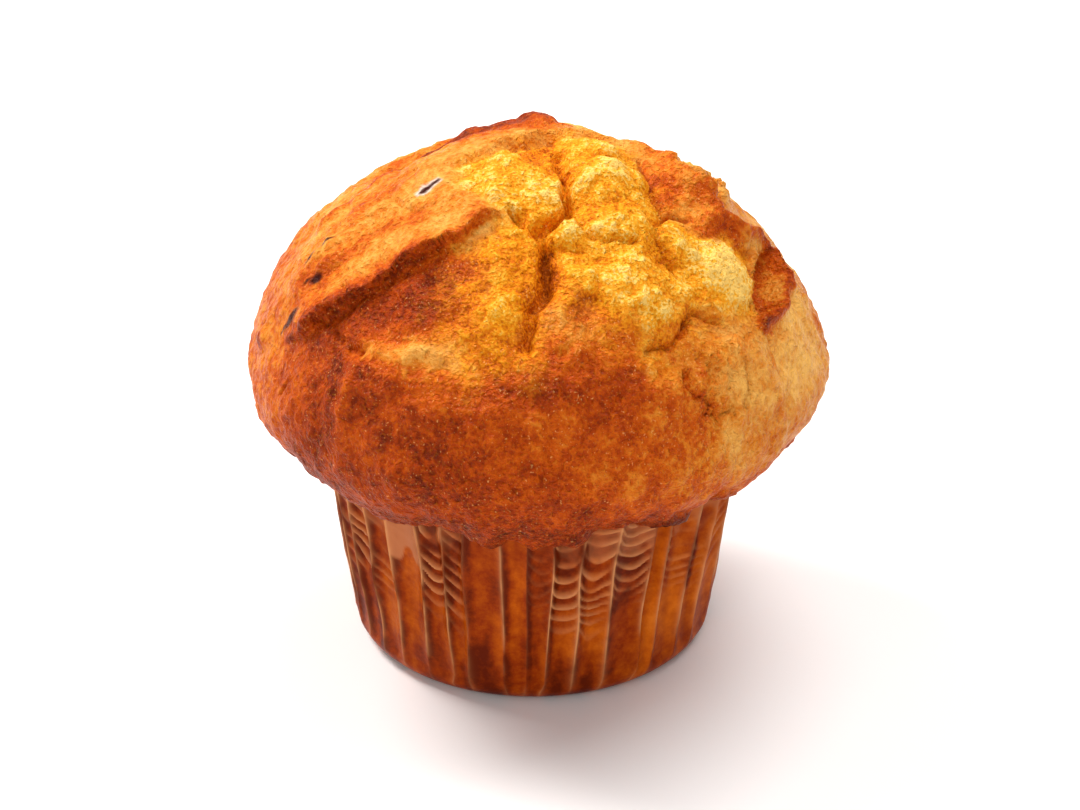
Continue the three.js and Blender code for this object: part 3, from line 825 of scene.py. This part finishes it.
# Each patch: right, back, half width, half length, how much browner (or paler, below 0). The
# browner slope under the lip is partly painted shadow of the lip, the browner patches on the back
# ridge are partly painted shade, and the paler patches at the far right are painted light.
BROWN_PATCHES = [
    (-17, -24, 15, 8, 0.46), (-29, -23.5, 8, 4, 0.20), (-30, -20.5, 2, 1.4, 0.2),
    (-33.8, -19.5, 2, 1.4, 0.15), (-14, -27, 9, 6, 0.17), (-22, -46, 12, 9, 0.05),
    (-17, -41, 8, 5, -0.07), (0, -47, 10, 8, -0.05), (15, -52, 10, 7, -0.12),
    (2, -58, 9, 4, -0.08), (-28, -8, 14, 8, 0.05), (4, -38, 18, 8, 0.10),
    (-30, -33, 9, 8, 0.17), (25, 0, 8, 8, 0.05), (26, -8.5, 7, 3, 0.30), (17, -4, 3, 9, 0.22),
    (-22, -2, 9, 6, 0.16), (22, -38, 12, 7, 0.06), (-24, -12, 14, 5, 0.12),
    (33, -40, 8, 5, -0.08), (-6, 13, 14, 6, 0.34), (-20, 10, 12, 6, 0.26),
    (-12, 7, 12, 4, 0.10), (43.5, -13, 8, 17, -0.28), (36, -32, 10, 12, -0.11),
    (-38, -34, 8, 8, 0.06), (-3, 8.5, 13, 5, 0.26), (-8, 3, 8, 4, 0.08),
    (-45.5, -10, 2.2, 2.0, 0.4), (-38, -18.5, 2.4, 1.4, 0.25),
]
mottle = rough(*BASE.T, 6.0, 91, 3)
bake = 0.24 + 0.42 * ease(26, 46, ARC) * right_fade * left_fade
bake += patched(BROWN_PATCHES, BENT_X, BENT_Y) + 0.09 * mottle + 0.05 * rough(*BASE.T, 2.2, 93, 2)
# The cap's underside browns more: partly real browning and partly painted shade under the overhang.
bake += 0.16 * ease(CROWN_ARC - 3, CROWN_ARC + 12, ARC) + 0.15 * UNDER_EDGE
bake += (0.16 + 0.12 * ease(-36, -18, X)) * PLATE_BAND + 0.32 * RIDGE_BAND
# Browner along the flap's torn band, and in the hollow behind it as painted shade in the recess.
bake += 0.20 * FLAP_BAND + 0.20 * IN_HOLLOW
bake += 0.30 * ease(30, 34, X) * fade(0.3, 1.3, FLAP_AWAY) - 0.06 * IN_BLOCK
bake -= 0.25 * PUFFED * TORN - 0.12 * np.clip(SPLIT_CUT, 0, 1)
bake -= 0.20 * bell(FOLD_AWAY, 1.4)
print("bake from", bake.min().round(2), "to", bake.max().round(2), "middling", bake.mean().round(2))

# %% Open crumb and its lightness
# Each patch: right, back, half width, half length, how much lighter (or darker, below 0). The
# darker ones are partly crumb that browned and partly painted shade in valleys and cracks.
LIGHT_PATCHES = [
    (27, -15, 8, 8, 0.26), (1, -11, 5, 7, 0.14), (11, -2, 7, 9, 0.06), (22, -23.5, 4, 4, 0.14),
    (-5, -33, 6, 6, -0.10), (-9.5, -20, 6.5, 9, -0.42), (-9, -28, 5, 8, -0.2),
    (6, -29, 8, 6, -0.24), (14, -31, 9, 4, -0.16), (16.5, -2, 3, 9, -0.24),
    (4.5, -20, 3.5, 5, 0.16), (2.6, -22.4, 2.1, 4.6, -0.36), (15, -24, 9, 7, 0.16),
    (9.5, -17.5, 5, 4, 0.18), (12, -8, 6, 6, 0.05),
]
crumb = ease(-1.0, 1.0, BURST_IN / (BORDER_WIDTH + 0.6) + 0.5 * noise(X, Y, 0.0, 1.6, 95))
# Lighter on high lobes and puffs and darker in splits: painted light and shade that follow the
# relief.
crumb_lightness_and_shade = 0.56 + 0.10 * (LOBES - BURST_DEPTH) + patched(LIGHT_PATCHES, BENT_X, BENT_Y)
crumb_lightness_and_shade += 0.42 * PUFFED + 0.30 * TORN_CRUMB
crumb_lightness_and_shade += 0.13 * rough(X, Y, 0.0, 6.0, 96, 3) - 0.10 * SPLIT_CUT
print("lightness of the open crumb:", crumb_lightness_and_shade[crumb > OPEN_FROM].mean().round(2))

# %% Stains: specks of dark fruit, a seed, and the sticky drops on the cap's edge
# Each stain: right, back, half width, half length.
STAINS = [
    (-31.7, -8.2, 1.3, 0.6), (-29.3, -8.1, 1.4, 0.35), (-31.8, -13.2, 1.3, 0.9),
    (-33.2, -12.6, 1.0, 0.4), (-37.6, -15.6, 2.0, 1.1), (-39.6, -15.4, 1.2, 0.6),
    (-36, -40.7, 0.9, 0.4), (-52, -24, 1.6, 1.0),
]
SEED = [(-14.6, -8.0), (-13.8, -7.3), (-12.6, -6.9)]
SEED_CORE, SEED_HUSK = 0.42, 0.78
stain = np.zeros_like(X)
for spot in STAINS:
    stain = np.maximum(stain, fade(0.5, 1.1, oval(BENT_X, BENT_Y, *spot)))
seed_away = path_distance(SEED, X + 0.8 * noise(X, Y, 0.0, 1.5, 97), Y)
seed_away = seed_away + 0.22 * noise(X, Y, 0.0, 0.9, 98)
stain = np.maximum(stain, fade(SEED_CORE - 0.2, SEED_CORE + 0.2, seed_away))
stain = np.maximum(stain, dropped_dark)
husk = fade(SEED_HUSK - 0.25, SEED_HUSK + 0.15, seed_away)
print("stained points:", (stain > 0.5).sum(), "husk points:", (husk > 0.5).sum())

# %% The cake's mesh
MOST_BAKED = 0.76  # the darkest crust, short of burnt
HIDDEN_BAKE = 0.75  # the foot, inside the paper
hidden = len(cake_points) - cap_count
cake_values = {
    "bake": np.append(np.clip(bake, 0, MOST_BAKED), np.full(hidden, HIDDEN_BAKE)),
    "crumb": np.append(crumb, np.zeros(hidden)),
    "crumb_lightness_and_shade": np.append(np.clip(crumb_lightness_and_shade, 0, 1), np.full(hidden, 0.5)),
    "stain": np.append(stain, np.zeros(hidden)),
    "husk": np.append(husk, np.zeros(hidden)),
}
cake = make_mesh("burst_muffin", cake_points, cake_faces, cake_values)

# %% [markdown]
# ## Materials
# A material here is a small tree of nodes. One helper adds a node with its settings and its links,
# so that each finish reads as a recipe. Colours are written as the sRGB hex values that a paint
# program shows, and one function turns them into the linear values that light adds up in.

# %% Colour and node helpers
def linear(hex_colour):
    """sRGB hex to linear RGBA: divide by 12.92 below 0.04045, else the 2.4 power curve."""
    parts = [int(hex_colour[i : i + 2], 16) / 255 for i in (1, 3, 5)]
    return [p / 12.92 if p <= 0.04045 else ((p + 0.055) / 1.055) ** 2.4 for p in parts] + [1.0]


def add_node(tree, kind, inputs=(), stops=(), out=0, **settings):
    """Adds a node and gives its output. Inputs are socket names or numbers with a value, or another
    node's output to link. Stops are the places and colours of a ramp."""
    made = tree.nodes.new("ShaderNode" + kind)
    for name, value in settings.items():
        setattr(made, name, value)
    for socket, value in dict(inputs).items():
        if isinstance(value, bpy.types.NodeSocket):
            tree.links.new(value, made.inputs[socket])
        else:
            made.inputs[socket].default_value = value
    for number, (place, hex_colour) in enumerate(stops):
        ramp = made.color_ramp.elements
        stop = ramp[number] if number < 2 else ramp.new(place)
        stop.position, stop.color = place, linear(hex_colour)
    return made.outputs[out]


def new_material(name, labels, **shader_values):
    """A material with its shader's even values set, its tree and shader, the place on the object,
    and the numbers that the mesh carries under the labels."""
    made = bpy.data.materials.new(name)
    made.use_nodes = True
    tree = made.node_tree
    shader = tree.nodes["Principled BSDF"]
    for socket, value in shader_values.items():
        shader.inputs[socket.replace("_", " ")].default_value = value
    place = add_node(tree, "TexCoord", out="Object")
    read = {
        label: add_node(tree, "Attribute", attribute_name=label, out="Fac") for label in labels
    }
    return made, tree, shader, place, read


print("mid grey #808080 is", round(linear("#808080")[0], 3), "in linear light")

# %% [markdown]
# ### Baked crust and open crumb
# Crust is sugar and egg that browned: tan where it is thin, red-brown where it is thick, and
# stippled by the bubbles under its skin, with painted shade in the stipple's pits. Crumb is a
# yellow sponge. One material holds both, because in a real muffin one turns into the other. To the
# eye it gives a dry, warm, speckled skin with a faint gloss, and fine sugar grains whose glints are
# painted highlights in the colour.

# %% The baked material
# Bubbles under the skin are about 0.5 mm apart and sugar grains 0.1 to 0.2 mm across, both too
# fine to show, so each is drawn as coarse as it needs to be.
STIPPLE_MM, BLOTCH_MM, GRAIN_MM, GLINT_MM = 0.8, 3.2, 0.42, 0.30
baked, tree, shader, place, read = new_material(
    "baked_crust_and_crumb", cake_values, IOR=1.45, Specular_IOR_Level=0.08
)
stipple, patchy, grain, glint = (
    add_node(
        tree, "TexNoise",
        {"Vector": place, "Scale": 1 / (size * MM), "Detail": detail, "Roughness": roughness},
    )
    for size, detail, roughness in (
        (STIPPLE_MM, 3.0, 0.6), (BLOTCH_MM, 5.0, 0.65), (GRAIN_MM, 1.0, 0.5), (GLINT_MM, 0.0, 0.5),
    )
)
# Each noise goes from its usual range to how far it moves a colour. The first darkens the stipple's
# pits as painted shade, the third lightens the crumb's raised grains partly as painted highlight,
# and the last is amber sugar.
painted_pit_shade, cloud, grain_paleness_and_highlight, crystal = (
    add_node(
        tree, "MapRange", {"Value": value, 1: low, 2: high, "To Min": to_low, "To Max": to_high}
    )
    for value, low, high, to_low, to_high in (
        (stipple, 0.36, 0.64, 0.13, -0.13), (patchy, 0.34, 0.66, -0.10, 0.10),
        (grain, 0.35, 0.65, -0.18, 0.18), (grain, 0.52, 0.80, 0.0, 0.14),
    )
)
uneven = add_node(tree, "Math", {0: painted_pit_shade, 1: cloud}, operation="ADD")
brown = add_node(tree, "Math", {0: read["bake"], 1: uneven}, operation="ADD")
lit = add_node(tree, "Math", {0: read["crumb_lightness_and_shade"], 1: uneven}, operation="SUBTRACT")
paleness_and_painted_light = add_node(tree, "Math", {0: lit, 1: grain_paleness_and_highlight}, operation="ADD")
# Straw, tan, amber and chestnut to dark brown for the crust, toffee to pale yellow for the crumb;
# the crumb's toffee end also serves as painted shade in its creases.
# A ramp starts with its two ends, so they come first.
CRUST_STOPS = [
    (0.0, "#f4b65a"), (1.0, "#360e02"), (0.18, "#e49b42"), (0.34, "#d87b20"), (0.50, "#c45205"),
    (0.66, "#a73a01"), (0.82, "#7c2401"),
]
CRUMB_STOPS = [
    (0.0, "#9c4402"), (1.0, "#f9cb6a"), (0.20, "#c66002"), (0.40, "#e07c05"), (0.60, "#ec920f"),
    (0.80, "#f4ab2c"),
]
crust_colour = add_node(tree, "ValToRGB", {"Fac": brown}, CRUST_STOPS)
crumb_colour = add_node(tree, "ValToRGB", {"Fac": paleness_and_painted_light}, CRUMB_STOPS)
blend = add_node(
    tree, "Mix", {"Factor": read["crumb"], 6: crust_colour, 7: crumb_colour},
    data_type="RGBA", out=2,
)
# Painted highlights: only the grains that stand highest get a pale glint in the colour.
raised = add_node(tree, "Math", {0: patchy, 1: 0.35, 2: glint}, operation="MULTIPLY_ADD")
painted_glint = add_node(
    tree, "MapRange", {"Value": raised, 1: 0.91, 2: 1.02, "To Min": 0.0, "To Max": 0.38}
)
# Over the blend go, in turn: amber grains, painted pale glints, the seed's husk and dark fruit.
OVERLAYS = [
    (crystal, "#ffa21c"), (painted_glint, "#ffbe74"), (read["husk"], "#ecd2c0"),
    (read["stain"], "#3f1006"),
]
for amount, over in OVERLAYS:
    blend = add_node(
        tree, "Mix", {"Factor": amount, 6: blend, 7: linear(over)}, data_type="RGBA", out=2
    )
tree.links.new(blend, shader.inputs["Base Color"])
# Crust is a little glossier than crumb.
gloss = add_node(tree, "MapRange", {"Value": read["crumb"], "To Min": 0.36, "To Max": 0.50})
tree.links.new(gloss, shader.inputs["Roughness"])
coarse = add_node(tree, "Bump", {"Height": stipple, "Strength": 1.0, "Distance": 0.8 * MM})
skin_bump = add_node(
    tree, "Bump", {"Height": grain, "Strength": 1.0, "Distance": 0.22 * MM, "Normal": coarse}
)
tree.links.new(skin_bump, shader.inputs["Normal"])
cake.data.materials.append(baked)
print(baked.name, "has", len(tree.nodes), "nodes")

# %% [markdown]
# ### Greaseproof paper, soaked
# The case was pale paper, but butter has made it translucent, so the baked cake shows through in
# orange and brown. Light that really went through would be hard to steer, so the paper's colour
# already holds the cake behind it. Pale lines of painted highlight run along the crests. The
# creases are pale partly because a fold lets air into the fibres and partly as painted highlight,
# with painted shade between them, beside each crest and towards the foot. The paper is dry and
# paler where it let go of the cake. To the eye it gives a dark, warm satin with light lines.

# %% The paper material
# Fibres are far finer than this, and are drawn coarse so that the satin shows.
FIBRE_MM, SOAK_MM = 0.5, 2.6
paper, tree, shader, place, read = new_material(
    "oiled_greaseproof_paper", case_values, IOR=1.47, Specular_IOR_Level=0.05
)
patchy = add_node(
    tree, "TexNoise",
    {"Vector": place, "Scale": 1 / (SOAK_MM * MM), "Detail": 6.0, "Roughness": 0.72},
)
fibre = add_node(tree, "TexNoise", {"Vector": place, "Scale": 1 / (FIBRE_MM * MM), "Detail": 3.0})
cloud = add_node(
    tree, "MapRange", {"Value": patchy, 1: 0.34, 2: 0.66, "To Min": -0.18, "To Max": 0.18}
)
soak = add_node(tree, "Math", {0: read["glow_and_painted_shade"], 1: cloud}, operation="ADD")
# From dark brown, where the cake is far or scorched and where shade is painted, to the orange of
# cake close behind.
SOAKED_STOPS = [
    (0.0, "#5e1a02"), (1.0, "#d8741a"), (0.25, "#8c3002"), (0.50, "#ad4a04"), (0.75, "#c6600a"),
]
soaked = add_node(tree, "ValToRGB", {"Fac": soak}, SOAKED_STOPS)
dried = add_node(
    tree, "Mix", {"Factor": read["dry"], 6: soaked, 7: linear("#b26a42")}, data_type="RGBA", out=2
)
# Painted highlight on crests, and on creases partly so, partly the folded paper's own paleness.
paleness_and_painted_light = add_node(
    tree, "Math", {0: read["crease"], 1: 0.62, 2: read["crest"]},
    operation="MULTIPLY_ADD", use_clamp=True,
)
paper_colour = add_node(
    tree, "Mix", {"Factor": paleness_and_painted_light, 6: dried, 7: linear("#d8935e")}, data_type="RGBA", out=2
)
tree.links.new(paper_colour, shader.inputs["Base Color"])
satin = add_node(tree, "MapRange", {"Value": fibre, "To Min": 0.28, "To Max": 0.44})
tree.links.new(satin, shader.inputs["Roughness"])
paper_bump = add_node(tree, "Bump", {"Height": fibre, "Strength": 0.3, "Distance": 0.10 * MM})
tree.links.new(paper_bump, shader.inputs["Normal"])
case.data.materials.append(paper)
print(paper.name, "has", len(tree.nodes), "nodes")

# %% [markdown]
# ### The table
# The muffin stands on a white laminated board. One large square is enough, since its edges are out
# of sight. Its half-matt white gives the eye a bright ground with a soft shadow, and its tone
# wavers faintly every 80 mm or so, as a real board's does.

# %% The white table
SPAN = 1.5  # half its width
corners = [(-SPAN, -SPAN, 0), (SPAN, -SPAN, 0), (SPAN, SPAN, 0), (-SPAN, SPAN, 0)]
table_mesh = bpy.data.meshes.new("table")
table_mesh.from_pydata(corners, [], [(0, 1, 2, 3)])
table = bpy.data.objects.new("table", table_mesh)
bpy.context.collection.objects.link(table)
white, tree, shader, place, _ = new_material("white_laminate", (), Roughness=0.6, IOR=1.45)
faint = add_node(tree, "TexNoise", {"Vector": place, "Scale": 12.0, "Detail": 2.0})
WHITE_STOPS = [(0.3, "#f6f3f1"), (0.7, "#faf8f7")]
tone = add_node(tree, "ValToRGB", {"Fac": faint}, WHITE_STOPS)
tree.links.new(tone, shader.inputs["Base Color"])
table_mesh.materials.append(white)
print("the table is", 2 * SPAN, "m wide")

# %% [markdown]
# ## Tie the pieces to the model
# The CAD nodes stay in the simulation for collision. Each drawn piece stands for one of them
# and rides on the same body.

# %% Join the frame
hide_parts("muffin")
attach(cake, "root")
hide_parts("paper_case")
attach(case, "root")
